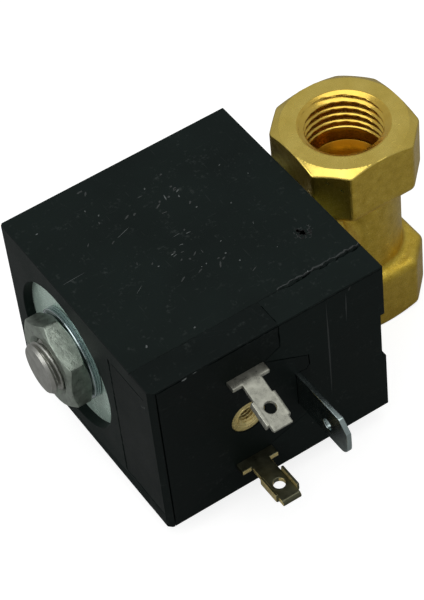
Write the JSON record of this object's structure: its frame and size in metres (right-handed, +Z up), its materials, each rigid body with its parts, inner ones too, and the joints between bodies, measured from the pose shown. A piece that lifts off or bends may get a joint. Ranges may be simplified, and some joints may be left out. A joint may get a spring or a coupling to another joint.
{
  "type": "solenoid valve",
  "caption": "Direct-acting solenoid valve: forged brass body with in-line threaded ports, sliding plunger in a guide tube, and a moulded plug-in coil clamped by a thin hexagon nut.",
  "frame": {"origin": "centre of the lower port's mouth, on the flow axis", "axes": "+Z up the flow axis to the upper port; -X along the guide tube from the body to the coil nut; -Y out of the terminal face"},
  "size_m": [0.063, 0.0512, 0.0347],
  "materials": {
    "forged_brass": "matt as forged, with turned port faces",
    "stainless": "drawn",
    "core_steel": "turned",
    "zinc_steel": "zinc plated",
    "copper": "enamelled or bare copper",
    "rubber": "matt",
    "black_moulding": "satin moulded",
    "bobbin_plastic": "moulded",
    "tinned_brass": "tinned",
    "bare_brass": "stamped or turned"
  },
  "bodies": {
    "valve": {"valve_body": "forged_brass", "tube_collar": "stainless", "guide_tube": "stainless", "fixed_core": "core_steel", "shading_ring": "copper", "tube_o_ring": "rubber", "coil_gasket": "rubber", "coil_washer": "zinc_steel", "coil_nut": "zinc_steel", "plunger_spring": "stainless"},
    "coil": {"coil_housing": "black_moulding", "terminal_block": "black_moulding", "bobbin": "bobbin_plastic", "winding": "copper", "winding_leads": "copper", "yoke": "zinc_steel", "flux_bush_front": "core_steel", "flux_bush_rear": "core_steel", "line_terminal_upper": "tinned_brass", "line_terminal_lower": "bare_brass", "ground_terminal": "zinc_steel", "threaded_insert": "bare_brass"},
    "plunger": {"plunger": "core_steel", "plunger_seal": "rubber"}
  },
  "joints": [
    {"name": "coil_swivel", "type": "hinge", "parent": "valve", "child": "coil", "pos_m": [-0.03, 0, 0.0185], "axis": [1, 0, 0], "continuous": true},
    {"name": "plunger_slide", "type": "slide", "parent": "valve", "child": "plunger", "axis": [-1, 0, 0], "range_m": [0, 0.0018], "stiffness_N_per_m": 400, "springref_m": -0.008, "deforming": ["plunger_spring"]}
  ]
}
